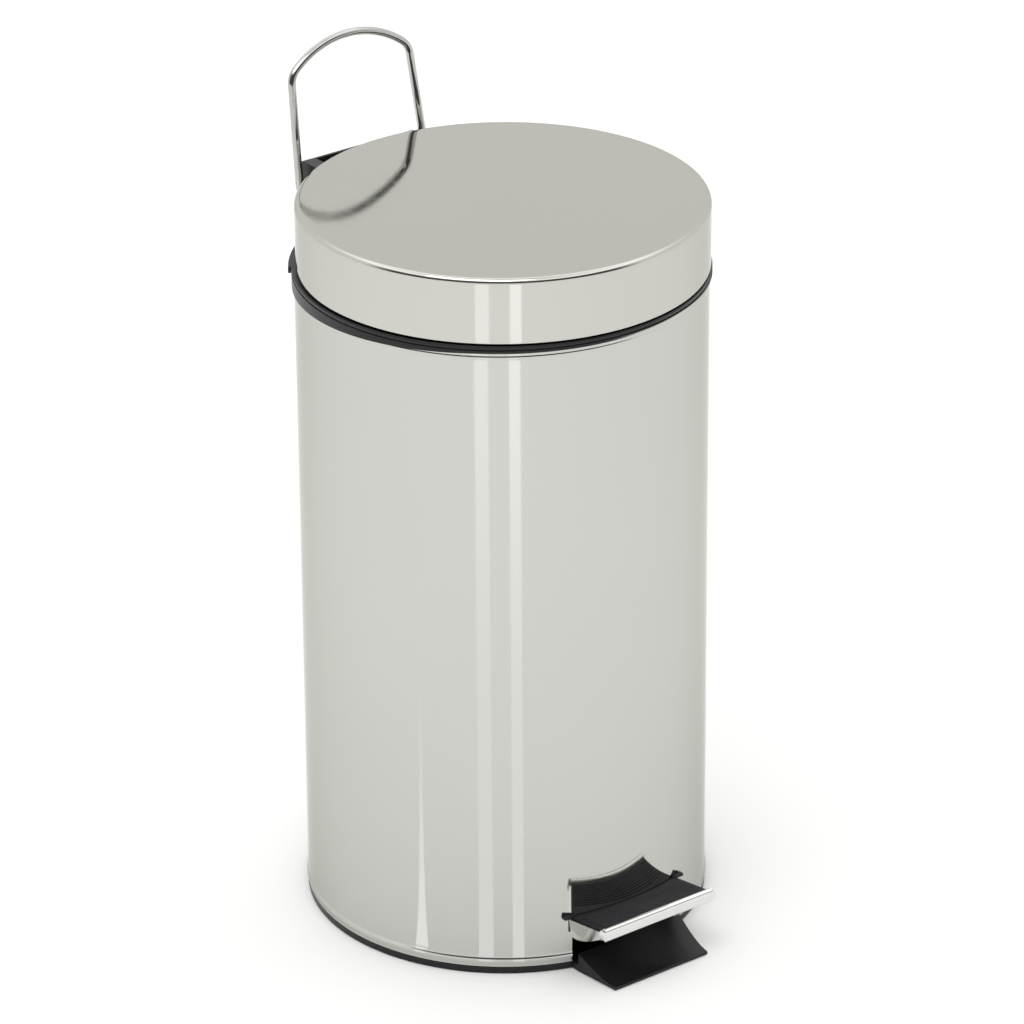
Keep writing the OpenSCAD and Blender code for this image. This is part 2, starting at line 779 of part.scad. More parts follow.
module axle_bracket(side) {
    cheek = concat([[axle_y - bracket_y / 2, floor_top], [axle_y + bracket_y / 2, floor_top]],
        arc([axle_y, axle_z], axle_d / 2 + 4, 0, 180));
    color([0.68, 0.68, 0.69])
        scale([side, 1, 1])
            difference() {
                union() {
                    side_plate(cheek, bracket_x, bracket_x + bracket_t);
                    translate([bracket_x, axle_y - bracket_y / 2, floor_top])
                        cube([bracket_foot, bracket_y, bracket_t]);
                }
                cross_pin(bracket_x - 1, bracket_x + bracket_t + 1, axle_y, axle_z,
                    axle_d / 2 + run_gap);
                translate([bracket_x + bracket_foot / 2 + 1, axle_y, floor_top - 1])
                    cylinder(r = screw_d / 2 + slip_gap, h = bracket_t + 2);
            }
}

module axle_bracket_left() {
    axle_bracket(-1);
}

module axle_bracket_right() {
    axle_bracket(1);
}

module bracket_screws() {
    seat = floor_top + bracket_t + seat_gap;
    color([0.75, 0.75, 0.76])
        for (side = [-1, 1])
            translate([side * (bracket_x + bracket_foot / 2 + 1), axle_y, seat])
                difference() {
                    union() {
                        translate([0, 0, -bracket_t - floor_t]) cylinder(d = screw_d, h = 6, $fn = 48);
                        cylinder(d = 7.6, h = 2.4, $fn = 48);
                    }
                    translate([0, 0, 1.2]) cylinder(r = 1.6, h = 2, $fn = 6);
                }
}

// ---- Push rod ----

module push_rod() {
    color([0.72, 0.72, 0.73])
        translate([0, rod_y, 0]) {
            wire([0, rod_low + rod_bend], [0, rod_top - rod_bend], rod_r);
            wire_arc([rod_bend, rod_top - rod_bend], rod_bend, 90, 180, rod_r);
            wire([rod_bend, rod_top], [rod_pin, rod_top], rod_r);
            wire_arc([rod_bend, rod_low + rod_bend], rod_bend, 180, 270, rod_r);
            wire([rod_bend, rod_low], [rod_pin, rod_low], rod_r);
        }
}

module rod_clips() {
    x0 = arm_x + arm_t + 0.4;
    color([0.5, 0.5, 0.51])
        for (z = [rod_low, rod_top])
            difference() {
                cross_pin(x0, x0 + 1, rod_y, z, rod_r + 2);
                cross_pin(x0 - 1, x0 + 2, rod_y, z, rod_r + seat_gap);
            }
}

// Plastic guide fixed to the inside of the body
module rod_guide(z) {
    color([0.15, 0.15, 0.16])
        difference() {
            intersection() {
                translate([-8, rod_y - rod_r - 2.5, z - 7]) cube([16, 20, 14]);
                cylinder(r = inner_r - seat_gap, h = body_top);
            }
            translate([0, rod_y, z - 8]) cylinder(r = rod_r + run_gap * 2, h = 16);
        }
}

module rod_guide_lower() {
    rod_guide(ring_h + body_h * 0.3);
}

module rod_guide_upper() {
    rod_guide(ring_h + body_h * 0.78);
}

// ---- Bucket ----

module inner_bucket() {
    low_in = bucket_low_r - bucket_wall;
    round_r = 8;
    color([0.17, 0.17, 0.18])
        difference() {
            union() {
                rotate_extrude($fn = 180)
                    polygon(concat(
                        [[0, bucket_floor_z]],
                        arc([bucket_low_r - round_r, bucket_floor_z + round_r], round_r, -90, 0),
                        [[bucket_r, bucket_top], [rim_r, bucket_top], [rim_r, bucket_top + rim_t],
                         [bucket_r - bucket_wall, bucket_top + rim_t]],
                        arc([low_in - round_r + 1, bucket_floor_z + round_r + 1], round_r - 1, 0, -90),
                        [[0, bucket_floor_z + 2]]));
                for (side = [-1, 1])
                    scale([side, 1, 1])
                        side_plate(concat([[-6, bucket_top + 1], [6, bucket_top + 1]],
                            arc([0, bail_z], bail_pin_r + 2.2, 0, 180)), lug_x, lug_x + lug_t);
            }
            cross_pin(-bucket_r, bucket_r, 0, bail_z, bail_pin_r + run_gap);
        }
}

// The bail lies on the rim: half a ring whose ends are held in two pins that turn in the lugs
module bucket_bail() {
    reach = bail_r + bail_d / 2 + 0.4;
    color([0.78, 0.78, 0.79])
        translate([0, 0, bail_z]) {
            rotate([0, 0, 180])
                rotate_extrude(angle = 180) translate([bail_r, 0]) circle(d = bail_d, $fn = 32);
            for (x = [lug_x - 1.5, -reach]) cross_pin(x, x + reach - lug_x + 1.5, 0, 0, bail_pin_r);
        }
}

module bail_grip() {
    half = 14;
    color([0.14, 0.14, 0.15])
        translate([0, 0, bail_z]) rotate([0, 0, -90 - half])
            rotate_extrude(angle = half * 2)
                difference() {
                    translate([bail_r, 0]) circle(d = grip_d, $fn = 32);
                    translate([bail_r, 0]) circle(d = bail_d + seat_gap * 2, $fn = 32);
                }
}

base();
rubber_feet();
body_shell();
top_collar();
lid_buffers();
hinge_housing();
housing_screws();
hinge_pin();
hinge_pin_clip();
handle_bushes();
carry_handle();
lid_shell();
lid_liner();
lid_bracket();
pedal_lever();
pedal_tread();
pedal_axle();
axle_clips();
axle_bracket_left();
axle_bracket_right();
bracket_screws();
push_rod();
rod_clips();
rod_guide_lower();
rod_guide_upper();
inner_bucket();
bucket_bail();
bail_grip();
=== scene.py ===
import json
import math

import bmesh
import bpy
import numpy as np
from mathutils import Matrix, Vector


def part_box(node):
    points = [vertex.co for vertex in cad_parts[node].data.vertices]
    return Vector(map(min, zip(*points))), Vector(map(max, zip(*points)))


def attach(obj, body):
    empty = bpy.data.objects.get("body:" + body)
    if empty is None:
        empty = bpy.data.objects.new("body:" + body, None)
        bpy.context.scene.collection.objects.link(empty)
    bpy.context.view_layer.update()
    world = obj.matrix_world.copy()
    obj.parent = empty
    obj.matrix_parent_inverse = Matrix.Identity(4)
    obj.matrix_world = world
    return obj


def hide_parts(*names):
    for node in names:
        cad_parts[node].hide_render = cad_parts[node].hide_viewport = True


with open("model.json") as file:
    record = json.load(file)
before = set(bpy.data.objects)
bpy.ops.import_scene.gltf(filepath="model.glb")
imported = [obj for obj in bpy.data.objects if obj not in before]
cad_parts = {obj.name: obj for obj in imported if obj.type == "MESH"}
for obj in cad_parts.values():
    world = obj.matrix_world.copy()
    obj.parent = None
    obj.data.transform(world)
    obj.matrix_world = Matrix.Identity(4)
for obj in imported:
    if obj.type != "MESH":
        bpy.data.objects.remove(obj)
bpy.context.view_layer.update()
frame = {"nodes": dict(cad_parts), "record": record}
MM = 0.001


# ---- Places, all worked out from the frame ----

def box(node):
    """Lowest and highest corner of a CAD node as two arrays, in metres."""
    low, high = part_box(node)
    return np.array(low), np.array(high)


BODY_LOW, BODY_HIGH = box("body_shell")
LID_LOW, LID_HIGH = box("lid_shell")
HOUSING_TOP = box("hinge_housing")[1][2]
HANDLE_HALF = box("carry_handle")[1][0]

SHEET = 0.8 * MM            # steel of the body and of the lid
BEAD_OUT, BEAD_HEIGHT = 0.7 * MM, 7 * MM
CURL_RADIUS = 1.6 * MM      # rolled top edge of the body
CREASE_OUT = 0.3 * MM       # fine bead just under the collar's band
WINDOW_HEIGHT = 32.2 * MM   # pedal's opening above the body's foot
WINDOW_HALF = 39.5 * MM
LID_DISH = 2.6 * MM
LID_EDGE_RADIUS = 3 * MM
NOTCH_HALF = 32 * MM        # lid's cut-out for the hinge bracket
WIRE_RADIUS = 2.5 * MM      # carry handle
CORNER_SWELL = 0.3 * MM     # how far the CAD handle's corners stand out beyond its wire
HANDLE_LEAN = 9.4
HANDLE_TAPER = 3.75 * MM
SHOULDER_HEIGHT, HANDLE_HEIGHT = 72.5 * MM, 90 * MM
BODY_R = BODY_HIGH[0] - BEAD_OUT
LID_R = (LID_HIGH[0] - LID_LOW[0]) / 2
LID_Y = (LID_HIGH[1] + LID_LOW[1]) / 2
JOINTS = {j["name"]: j for j in frame["record"]["behaviour"]["joints"]}
HANDLE_PIVOT = np.array(JOINTS["handle_pivot"]["pos_m"])


# ---- Mesh work ----

def make_object(name, points, faces, smooth_angle=35.0):
    """Puts arrays of points and faces into a new object, smooth except at edges past the angle."""
    mesh = bpy.data.meshes.new(name)
    mesh.from_pydata([tuple(p) for p in points], [], [tuple(f) for f in faces])
    work = bmesh.new()
    work.from_mesh(mesh)
    bmesh.ops.remove_doubles(work, verts=work.verts, dist=1e-6)
    bmesh.ops.dissolve_degenerate(work, dist=1e-7, edges=work.edges)
    work.to_mesh(mesh)
    work.free()
    mesh.polygons.foreach_set("use_smooth", np.ones(len(mesh.polygons), dtype=bool))
    mesh.set_sharp_from_angle(angle=math.radians(smooth_angle))
    made = bpy.data.objects.new(name, mesh)
    bpy.context.scene.collection.objects.link(made)
    return made


def grid_faces(rows, columns, wrap_columns=False, keep=None):
    """Quads of a grid of rows x columns points. keep is a mask of the cells that stay."""
    last = columns if wrap_columns else columns - 1
    row, column = np.meshgrid(np.arange(rows - 1), np.arange(last), indexing="ij")
    if keep is not None:
        row, column = row[keep], column[keep]
    row, column = row.ravel(), column.ravel()
    beside = (column + 1) % columns
    return np.stack([row * columns + column, row * columns + beside,
                     (row + 1) * columns + beside, (row + 1) * columns + column], axis=1)


def arc(centre, radius, start, end, count):
    """Points on a circle's arc: centre + radius * (cos a, sin a), for angles a in degrees."""
    a = np.radians(np.linspace(start, end, count))
    return np.array(centre) + radius * np.stack([np.cos(a), np.sin(a)], axis=1)


def solidify(piece, thickness):
    """Gives a sheet its thickness inwards, and keeps its edges crisp."""
    wall = piece.modifiers.new("wall", "SOLIDIFY")
    wall.thickness = thickness
    wall.offset = -1.0
    wall.use_even_offset = True
    depsgraph = bpy.context.evaluated_depsgraph_get()
    mesh = bpy.data.meshes.new_from_object(piece.evaluated_get(depsgraph))
    piece.modifiers.clear()
    piece.data = mesh
    mesh.polygons.foreach_set("use_smooth", np.ones(len(mesh.polygons), dtype=bool))
    mesh.set_sharp_from_angle(angle=math.radians(35.0))


def turned_sheet(name, profile, turns, centre_y, keep=None):
    """A profile (r, z) turned about the vertical line y = centre_y. turns are the angles from -Y, in
    radians, and keep(angle, z) says which cells of the sheet stay: point = (r sin a, centre_y - r cos a, z)."""
    r, z = profile[:, 0][:, None], profile[:, 1][:, None]
    a = turns[None, :]
    points = np.stack([r * np.sin(a), centre_y - r * np.cos(a), z + 0 * a], axis=2).reshape(-1, 3)
    mask = None
    if keep is not None:
        middle_z = (profile[1:, 1] + profile[:-1, 1])[:, None] / 2
        step = (np.roll(turns, -1) - turns) % (2 * math.pi)
        middle_a = (turns + step / 2 + math.pi) % (2 * math.pi) - math.pi
        mask = keep(middle_a[None, :] + 0 * middle_z, middle_z + 0 * middle_a[None, :])
    return make_object(name, points, grid_faces(len(profile), len(turns), True, mask))


def even_turns(edges, count=384):
    """Angles round the circle, evenly spread between the given edges so that a cut falls on them."""
    edges = sorted(edges)
    turns = []
    for start, end in zip(edges, edges[1:] + [edges[0] + 2 * math.pi]):
        steps = max(4, round(count * (end - start) / (2 * math.pi)))
        turns.append(np.linspace(start, end, steps, endpoint=False))
    return np.concatenate(turns)


def swept_wire(name, path, across, radius, sides=28):
    """A round wire along a flat path. Each ring is radius * (cos b * normal + sin b * across), where the
    normal is the path's direction turned a quarter turn about across. Its ends close in a small dome."""
    direction = np.gradient(path, axis=0)
    direction /= np.linalg.norm(direction, axis=1)[:, None]
    normal = np.cross(across, direction)
    b = np.linspace(0, 2 * math.pi, sides, endpoint=False)
    dome = np.radians(np.linspace(90, 0, 6))
    size = np.concatenate([np.cos(dome), np.ones(len(path)), np.cos(dome[::-1])])
    lift = np.concatenate([-np.sin(dome), np.zeros(len(path)), np.sin(dome[::-1])]) * radius
    pick = np.concatenate([np.zeros(6, int), np.arange(len(path)), np.full(6, len(path) - 1)])
    centre = path[pick] + direction[pick] * lift[:, None]
    ring = np.cos(b)[None, :, None] * normal[pick][:, None, :] + np.sin(b)[None, :, None] * across
    points = centre[:, None, :] + radius * size[:, None, None] * ring
    return make_object(name, points.reshape(-1, 3), grid_faces(len(pick), sides, True), 60.0)


# ---- Materials ----

def linear(hex_colour):
    """An sRGB hex colour as linear red, green, blue and alpha."""
    values = [int(hex_colour[i:i + 2], 16) / 255 for i in (1, 3, 5)]
    return tuple(v / 12.92 if v <= 0.04045 else ((v + 0.055) / 1.055) ** 2.4 for v in values) + (1.0,)


def add(tree, kind, settings=None, inputs=None):
    """Adds a node with its settings, and gives its inputs a value or a link each."""
    made = tree.nodes.new(kind)
    for name, value in (settings or {}).items():
        setattr(made, name, value)
    for name, value in (inputs or {}).items():
        if isinstance(value, bpy.types.NodeSocket):
            tree.links.new(value, made.inputs[name])
        else:
            made.inputs[name].default_value = value
    return made


def new_material(name, shader_inputs):
    """An empty material with its shader, its output and Object coordinates."""
    material = bpy.data.materials.new(name)
    material.use_nodes = True
    tree = material.node_tree
    tree.nodes.clear()
    shader = add(tree, "ShaderNodeBsdfPrincipled", None, shader_inputs)
    add(tree, "ShaderNodeOutputMaterial", None, {"Surface": shader.outputs["BSDF"]})
    place = add(tree, "ShaderNodeTexCoord")
    return material, tree, shader, place.outputs["Object"]


def between(tree, factor, low, high, low_in=0.3, high_in=0.7):
    """Turns a pattern's value into a number between low and high."""
    ranged = add(tree, "ShaderNodeMapRange", None, {
        "Value": factor, "From Min": low_in, "From Max": high_in, "To Min": low, "To Max": high})
    return ranged.outputs["Result"]


def polished_stainless(name, tone, waviness=0.02):
    """Stainless steel sheet, polished to a mirror: a clear reflection with a faint cloudiness, a very
    slight waviness of the thin sheet, and a few wiping marks."""
    material, tree, shader, place = new_material(name, {
        "Metallic": 1.0, "Specular Tint": (0.74, 0.74, 0.72, 1.0)})
    cloud = add(tree, "ShaderNodeTexNoise", None, {"Vector": place, "Scale": 9.0, "Detail": 3.0})
    wipe_place = add(tree, "ShaderNodeMapping", None, {"Vector": place, "Scale": (1.0, 1.0, 0.12)})
    wipe = add(tree, "ShaderNodeTexNoise", None, {
        "Vector": wipe_place.outputs["Vector"], "Scale": 160.0, "Detail": 4.0})
    clear, dull = linear(tone), tuple(0.97 * v for v in linear(tone)[:3]) + (1.0,)
    colour = add(tree, "ShaderNodeMix", {"data_type": "RGBA"}, {
        "Factor": cloud.outputs["Fac"], "A": clear, "B": dull})
    tree.links.new(colour.outputs["Result"], shader.inputs["Base Color"])
    tree.links.new(between(tree, wipe.outputs["Fac"], 0.045, 0.075), shader.inputs["Roughness"])
    broad = add(tree, "ShaderNodeTexNoise", None, {"Vector": place, "Scale": 14.0, "Detail": 0.0})
    bump = add(tree, "ShaderNodeBump", None, {
        "Height": broad.outputs["Fac"], "Strength": waviness, "Distance": 2 * MM})
    tree.links.new(bump.outputs["Normal"], shader.inputs["Normal"])
    return material


def chrome_plate(name, bright, hazed):
    """Bright chrome plate on steel wire and pressings: a mirror with faint orange-peel and handling haze."""
    material, tree, shader, place = new_material(name, {"Metallic": 1.0})
    haze = add(tree, "ShaderNodeTexNoise", None, {"Vector": place, "Scale": 120.0, "Detail": 3.0})
    colour = add(tree, "ShaderNodeMix", {"data_type": "RGBA"}, {
        "Factor": haze.outputs["Fac"], "A": linear(bright), "B": linear(hazed)})
    tree.links.new(colour.outputs["Result"], shader.inputs["Base Color"])
    tree.links.new(between(tree, haze.outputs["Fac"], 0.05, 0.12), shader.inputs["Roughness"])
    peel = add(tree, "ShaderNodeTexNoise", None, {"Vector": place, "Scale": 700.0, "Detail": 1.0})
    bump = add(tree, "ShaderNodeBump", None, {
        "Height": peel.outputs["Fac"], "Strength": 0.02, "Distance": 0.2 * MM})
    tree.links.new(bump.outputs["Normal"], shader.inputs["Normal"])
    return material


def zinc_plate(name):
    """Zinc-plated steel: a satin, faintly blue-grey metal with a fine crystalline mottle."""
    material, tree, shader, place = new_material(name, {"Metallic": 1.0})
    spangle = add(tree, "ShaderNodeTexVoronoi", None, {"Vector": place, "Scale": 900.0})
    colour = add(tree, "ShaderNodeMix", {"data_type": "RGBA"}, {
        "Factor": spangle.outputs["Distance"], "A": linear("#c6c9cc"), "B": linear("#aeb2b6")})
    tree.links.new(colour.outputs["Result"], shader.inputs["Base Color"])
    tree.links.new(between(tree, spangle.outputs["Distance"], 0.28, 0.42, 0.0, 0.6), shader.inputs["Roughness"])
    return material


def moulded_plastic(name, tone, roughness, grain_scale=1600.0, grain=0.12):
    """Injection-moulded plastic from a spark-eroded tool: a fine even grain with a low sheen, a little
    more matt where it has been handled."""
    material, tree, shader, place = new_material(name, {"IOR": 1.5, "Specular IOR Level": 0.32})
    fine = add(tree, "ShaderNodeTexNoise", None, {"Vector": place, "Scale": grain_scale, "Detail": 2.0})
    wear = add(tree, "ShaderNodeTexNoise", None, {"Vector": place, "Scale": 25.0, "Detail": 4.0})
    lighter = tuple(min(1.0, 1.35 * v) for v in linear(tone)[:3]) + (1.0,)
    colour = add(tree, "ShaderNodeMix", {"data_type": "RGBA"}, {
        "Factor": wear.outputs["Fac"], "A": linear(tone), "B": lighter})
    tree.links.new(colour.outputs["Result"], shader.inputs["Base Color"])
    tree.links.new(between(tree, wear.outputs["Fac"], roughness - 0.05, roughness + 0.08), shader.inputs["Roughness"])
    bump = add(tree, "ShaderNodeBump", None, {
        "Height": fine.outputs["Fac"], "Strength": grain, "Distance": 0.08 * MM})
    tree.links.new(bump.outputs["Normal"], shader.inputs["Normal"])
    return material


def moulded_rubber(name, tone, roughness=0.6):
    """Moulded synthetic rubber: deep charcoal, matt, with a soft dusty bloom in patches."""
    material, tree, shader, place = new_material(name, {"IOR": 1.52, "Specular IOR Level": 0.35})
    bloom = add(tree, "ShaderNodeTexNoise", None, {"Vector": place, "Scale": 60.0, "Detail": 5.0})
    dusty = tuple(min(1.0, 1.7 * v) for v in linear(tone)[:3]) + (1.0,)
    colour = add(tree, "ShaderNodeMix", {"data_type": "RGBA"}, {
        "Factor": between(tree, bloom.outputs["Fac"], 0.0, 0.6, 0.45, 0.75), "A": linear(tone), "B": dusty})
    tree.links.new(colour.outputs["Result"], shader.inputs["Base Color"])
    tree.links.new(between(tree, bloom.outputs["Fac"], roughness - 0.1, roughness + 0.15), shader.inputs["Roughness"])
    grit = add(tree, "ShaderNodeTexNoise", None, {"Vector": place, "Scale": 2500.0, "Detail": 1.0})
    bump = add(tree, "ShaderNodeBump", None, {
        "Height": grit.outputs["Fac"], "Strength": 0.2, "Distance": 0.06 * MM})
    tree.links.new(bump.outputs["Normal"], shader.inputs["Normal"])
    return material


BODY_STEEL = polished_stainless("polished_stainless_body", "#c3c3bf")
LID_STEEL = polished_stainless("polished_stainless_lid", "#c3c2bd", 0.012)
CHROME = chrome_plate("chrome_plate", "#e6e6e4", "#d8d8d6")
WIRE_CHROME = chrome_plate("chrome_plate_on_wire", "#c2c2c0", "#b2b2b0")
ZINC = zinc_plate("zinc_plated_steel")
BLACK_ABS = moulded_plastic("black_abs", "#151517", 0.36)
BUCKET_PP = moulded_plastic("black_polypropylene_bucket", "#232326", 0.42, 1100.0, 0.2)
TREAD_RUBBER = moulded_rubber("ribbed_tread_rubber", "#1f2023", 0.55)
FOOT_RUBBER = moulded_rubber("grey_foot_rubber", "#3a3a3c", 0.7)

FINISHES = {
    "base": BLACK_ABS, "rubber_feet": FOOT_RUBBER, "top_collar": BLACK_ABS, "lid_buffers": FOOT_RUBBER,
    "hinge_housing": BLACK_ABS, "housing_screws": ZINC, "hinge_pin": CHROME, "hinge_pin_clip": ZINC,
    "handle_bushes": BLACK_ABS, "lid_liner": BLACK_ABS, "lid_bracket": ZINC, "pedal_lever": CHROME,
    "pedal_tread": TREAD_RUBBER, "pedal_axle": ZINC, "axle_clips": ZINC, "axle_bracket_left": ZINC,
    "axle_bracket_right": ZINC, "bracket_screws": ZINC, "push_rod": ZINC, "rod_clips": ZINC,
    "rod_guide_lower": BLACK_ABS, "rod_guide_upper": BLACK_ABS, "inner_bucket": BUCKET_PP,
    "bucket_bail": CHROME, "bail_grip": BLACK_ABS, "body_shell": BODY_STEEL, "lid_shell": LID_STEEL,
    "carry_handle": WIRE_CHROME,
}


def give_finish(piece, material):
    """Puts one material on a whole piece."""
    piece.data.materials.clear()
    piece.data.materials.append(material)


def finish_cad_nodes():
    for name, material in FINISHES.items():
        piece = frame["nodes"][name]
        if not piece.material_slots:
            piece.data.materials.append(material)
        for place in piece.material_slots:
            place.material = material


# ---- Pieces ----

def add_piece(piece, body, node, material):
    """A piece that stands for a CAD node on its body."""
    give_finish(piece, material)
    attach(piece, body)
    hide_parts(node)
    return piece


def make_body():
    """The body's sheet: a beaded foot, a straight wall, a fine bead and a rolled top edge with an inward flange, cut
    out at the front for the pedal."""
    low, top = BODY_LOW[2], BODY_HIGH[2]
    half = np.linspace(0, math.pi, 17)
    foot = np.stack([BODY_R + BEAD_OUT * np.sin(half) ** 2, low + 0.5 * MM + BEAD_HEIGHT * half / math.pi], axis=1)
    window_top = low + WINDOW_HEIGHT
    rows = [low + BEAD_HEIGHT + 1 * MM, low + BEAD_HEIGHT + 3 * MM, window_top, window_top + 1 * MM, low + 60 * MM]
    rows += list(np.linspace(low + 100 * MM, top - 30 * MM, 7)) + [top - 8 * MM]
    wall = np.array([[BODY_R, z] for z in rows])
    crease_z = top - 5.6 * MM + 3.4 * MM * half / math.pi
    crease = np.stack([BODY_R + CREASE_OUT * np.sin(half) ** 2, crease_z], axis=1)
    edge = arc((BODY_R - CURL_RADIUS, top - CURL_RADIUS), CURL_RADIUS, 0, 90, 9)
    flange = np.array([[BODY_R - 2.4 * MM, top], [BODY_R - 3.4 * MM, top]])
    profile = np.concatenate([[[BODY_R, low]], foot, wall, crease, edge, flange])
    half_window = math.asin(WINDOW_HALF / BODY_R)
    turns = even_turns([-half_window, half_window], 480)

    def keep(a, z):
        return ~((np.abs(a) < half_window) & (z < window_top))

    piece = turned_sheet("body_sheet", profile, turns, 0.0, keep)
    solidify(piece, SHEET)
    return add_piece(piece, "bin", "body_shell", BODY_STEEL)


def make_lid():
    """The lid's sheet: a top that dips LID_DISH * (1 - (r / R)^2) below its rim, a rounded edge, a
    straight skirt and a small rolled hem, cut out at the back for the hinge bracket."""
    low, top = LID_LOW[2], LID_HIGH[2]
    edge_r = LID_EDGE_RADIUS
    ring_r = np.linspace(0.0, LID_R - edge_r - 1 * MM, 40)
    top_rings = np.stack([ring_r, top - LID_DISH * (1 - (ring_r / ring_r[-1]) ** 2)], axis=1)
    edge = arc((LID_R - edge_r, top - edge_r), edge_r, 90, 0, 15)
    notch_top = HOUSING_TOP + 1 * MM
    rows = [top - edge_r - 1 * MM, notch_top, notch_top - 1 * MM]
    rows += list(np.linspace(notch_top - 5 * MM, low + 4 * MM, 4)) + [low + 1.6 * MM]
    wall = np.array([[LID_R, z] for z in rows])
    hem = arc((LID_R - 0.8 * MM, low + 0.8 * MM), 0.8 * MM, 0, -90, 6)
    profile = np.concatenate([top_rings, edge, wall, hem])[::-1]
    half_notch = math.asin(NOTCH_HALF / LID_R)
    turns = even_turns([math.pi - half_notch, math.pi + half_notch], 480)

    def keep(a, z):
        return ~((np.abs(a) > math.pi - half_notch) & (z < notch_top))

    piece = turned_sheet("lid_sheet", profile, turns, LID_Y, keep)
    solidify(piece, SHEET)
    return add_piece(piece, "lid", "lid_shell", LID_STEEL)


def filleted(corners, radii, step=0.9 * MM):
    """A path through the corners with each one rounded to its radius, as points on circle arcs."""
    points = [corners[0]]
    for before, corner, after, radius in zip(corners, corners[1:], corners[2:], radii):
        back = (before - corner) / np.linalg.norm(before - corner)
        ahead = (after - corner) / np.linalg.norm(after - corner)
        half = math.acos(np.clip(back @ ahead, -1, 1)) / 2
        middle = back + ahead
        centre = corner + middle / np.linalg.norm(middle) * radius / math.sin(half)
        start = corner + back * radius / math.tan(half)
        end = corner + ahead * radius / math.tan(half)
        u = start - centre
        v = end - centre
        turn = math.acos(np.clip(u @ v / radius ** 2, -1, 1))
        count = max(4, int(turn * radius / step))
        t = np.linspace(0, 1, count)[:, None]
        points.extend((np.sin((1 - t) * turn) * u + np.sin(t * turn) * v) / math.sin(turn) + centre)
    points.append(corners[-1])
    return np.array(points)


def make_handle():
    """The carry handle: one chrome wire, from its left pin up the leg, over the bowed top and down."""
    lean = math.radians(HANDLE_LEAN)
    up = np.array([0, math.sin(lean), math.cos(lean)])
    side = np.array([1.0, 0, 0])
    foot_x = HANDLE_HALF - WIRE_RADIUS - CORNER_SWELL
    top_x = foot_x - HANDLE_TAPER
    rise = HANDLE_HEIGHT - SHOULDER_HEIGHT
    crown = (top_x ** 2 + rise ** 2) / (2 * rise)
    swing = math.asin(top_x / crown)
    bow = np.linspace(-swing * 0.86, swing * 0.86, 41)
    top = [side * crown * math.sin(a) + up * (HANDLE_HEIGHT - crown + crown * math.cos(a)) for a in bow]
    corners = [-side * (foot_x - 13 * MM), -side * foot_x, -side * top_x + up * SHOULDER_HEIGHT]
    left = filleted(np.array(corners + [top[0]]), [4.5 * MM, 12 * MM])
    right = (left * np.array([-1, 1, 1]))[::-1]
    path = np.concatenate([left[:-1], top, right[1:]]) + HANDLE_PIVOT
    wire = swept_wire("handle_wire", path, np.cross(side, up), WIRE_RADIUS)
    return add_piece(wire, "handle", "carry_handle", WIRE_CHROME)


# ---- Studio ----

CAMERA_AZIMUTH = -37.0
CAMERA_ELEVATION = 25.545


def make_camera():
    """A long lens a little over three metres away, at the height of a standing person's look."""
    a, e = math.radians(CAMERA_AZIMUTH), math.radians(CAMERA_ELEVATION)
    back = Vector((math.sin(a) * math.cos(e), -math.cos(a) * math.cos(e), math.sin(e)))
    right = Vector((math.cos(a), math.sin(a), 0.0))
    up = back.cross(right)
    yaw, roll = math.radians(0.084), math.radians(-0.44)
    ahead = -back * math.cos(yaw) + right * math.sin(yaw)
    level = right * math.cos(yaw) + back * math.sin(yaw)
    right = level * math.cos(roll) + up * math.sin(roll)
    up = up * math.cos(roll) - level * math.sin(roll)
    place = Vector((0, 0, 0.2535)) + back * 3.4375
    data = bpy.data.cameras.new("camera")
    data.lens, data.sensor_width = 197.26, 36.0
    data.clip_start, data.clip_end = 0.05, 100.0
    camera = bpy.data.objects.new("camera", data)
    turn = Matrix((right, up, -ahead)).transposed()
    camera.matrix_world = Matrix.Translation(place) @ turn.to_4x4()
    bpy.context.scene.collection.objects.link(camera)
    bpy.context.scene.camera = camera


def make_floor():
    """A wide white sweep."""
    reach = 30.0
    floor = make_object("floor", [(-reach, -reach, 0), (reach, -reach, 0), (reach, reach, 0), (-reach, reach, 0)],
                        [(0, 1, 2, 3)])
    material, _, shader, _ = new_material("white_sweep", {"Base Color": (0.955, 0.955, 0.95, 1), "Roughness": 0.9})
    shader.inputs["Specular IOR Level"].default_value = 0.0
    give_finish(floor, material)


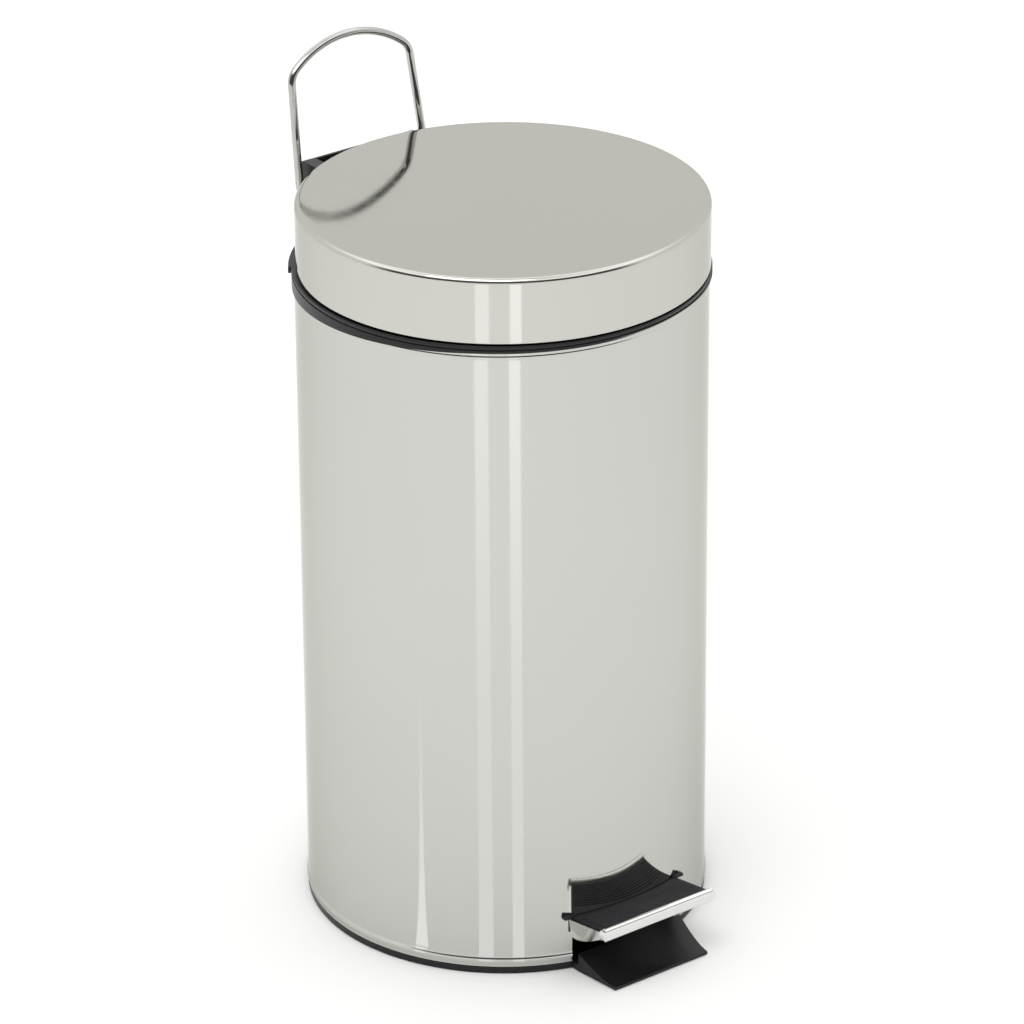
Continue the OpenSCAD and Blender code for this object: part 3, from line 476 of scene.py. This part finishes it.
def glow_strip(name, near_edges, far_edges, near, far, strength_near, strength_far):
    """A strip of light on the floor that shows only in reflections: a slit of the soft tent. Its edges
    are given as angles b round the body, and the body's wall mirrors it as an upright band, because each
    edge is the line R * n(b) + t * n(2 b), with n the level direction at that angle from the camera."""
    def spot(turn, away):
        a, b = math.radians(CAMERA_AZIMUTH + turn), math.radians(CAMERA_AZIMUTH + 2 * turn)
        return (BODY_R * math.sin(a) + away * math.sin(b), -BODY_R * math.cos(a) - away * math.cos(b), 2 * MM)

    corners = [spot(near_edges[0], near), spot(near_edges[1], near), spot(far_edges[1], far), spot(far_edges[0], far)]
    strip = make_object(name, corners, [(0, 1, 2, 3)])
    material = bpy.data.materials.new(name)
    material.use_nodes = True
    tree = material.node_tree
    tree.nodes.clear()
    place = add(tree, "ShaderNodeTexCoord")
    along = add(tree, "ShaderNodeVectorMath", {"operation": "LENGTH"}, {0: place.outputs["Object"]})
    strength = add(tree, "ShaderNodeMapRange", {"interpolation_type": "SMOOTHSTEP"}, {
        "Value": along.outputs["Value"], "From Min": BODY_R + near, "From Max": BODY_R + far,
        "To Min": strength_near, "To Max": strength_far})
    glow = add(tree, "ShaderNodeEmission", None, {"Strength": strength.outputs["Result"]})
    add(tree, "ShaderNodeOutputMaterial", None, {"Surface": glow.outputs["Emission"]})
    strip.data.materials.append(material)
    strip.visible_camera = False
    strip.visible_diffuse = False
    strip.visible_shadow = False


def make_world():
    """A white tent: even up to a third of the way, brightest at about 50 degrees up and softer overhead,
    with a dark opening on the camera's side that ends some 40 degrees up."""
    world = bpy.data.worlds.new("tent")
    bpy.context.scene.world = world
    world.use_nodes = True
    tree = world.node_tree
    tree.nodes.clear()
    place = add(tree, "ShaderNodeTexCoord")
    split = add(tree, "ShaderNodeSeparateXYZ", None, {"Vector": place.outputs["Generated"]})
    height = add(tree, "ShaderNodeValToRGB", None, {"Fac": split.outputs["Z"]})
    stops = [(0.0, 1.0), (0.54, 1.0), (0.66, 1.25), (0.80, 1.75), (0.92, 1.25), (1.0, 0.95)]
    ramp = height.color_ramp
    while len(ramp.elements) < len(stops):
        ramp.elements.new(0.5)
    for element, (where, value) in zip(ramp.elements, stops):
        element.position = where
        element.color = (value, value, value * 0.985, 1)
    a = math.radians(CAMERA_AZIMUTH)
    towards = (math.sin(a), -math.cos(a), 0.15)
    facing = add(tree, "ShaderNodeVectorMath", {"operation": "DOT_PRODUCT"}, {
        0: place.outputs["Generated"], 1: towards})
    dim = add(tree, "ShaderNodeMapRange", {"interpolation_type": "SMOOTHSTEP"}, {
        "Value": facing.outputs["Value"], "From Min": 0.15, "From Max": 0.50, "To Min": 1.0, "To Max": 0.10})
    above = add(tree, "ShaderNodeMapRange", {"interpolation_type": "SMOOTHSTEP"}, {
        "Value": split.outputs["Z"], "From Min": 0.58, "From Max": 0.68, "To Min": 0.0, "To Max": 1.0})
    opening = add(tree, "ShaderNodeMath", {"operation": "MAXIMUM"}, {
        0: dim.outputs["Result"], 1: above.outputs["Result"]})
    light = add(tree, "ShaderNodeMix", {"data_type": "RGBA", "blend_type": "MULTIPLY"}, {
        "Factor": 1.0, "A": height.outputs["Color"], "B": opening.outputs["Value"]})
    sky = add(tree, "ShaderNodeBackground", None, {"Color": light.outputs["Result"], "Strength": 1.0})
    add(tree, "ShaderNodeOutputWorld", None, {"Surface": sky.outputs["Background"]})


def make_lights():
    """One large soft box overhead, slightly to the left."""
    data = bpy.data.lights.new("soft_box", "AREA")
    data.shape, data.size, data.size_y, data.energy = "RECTANGLE", 1.6, 1.2, 14.0
    box_light = bpy.data.objects.new("soft_box", data)
    box_light.location = (-0.9, -0.5, 2.6)
    box_light.rotation_euler = (Vector((-0.9, -0.5, 2.3))).to_track_quat("Z", "Y").to_euler()
    bpy.context.scene.collection.objects.link(box_light)
    glow_strip("tent_slit_left", (-8.0, -3.7), (-7.8, -4.0), 0.01, 1.2, 1.21, 1.50)
    glow_strip("tent_slit_right", (1.6, 4.9), (1.7, 4.8), 0.01, 1.2, 1.23, 1.60)
    glow_strip("tent_slit_side", (-26.8, -22.8), (-24.9, -24.4), 0.02, 0.36, 1.38, 1.20)


finish_cad_nodes()
make_body()
make_lid()
make_handle()
make_camera()
make_floor()
make_world()
make_lights()
bpy.context.scene.view_settings.view_transform = "Standard"
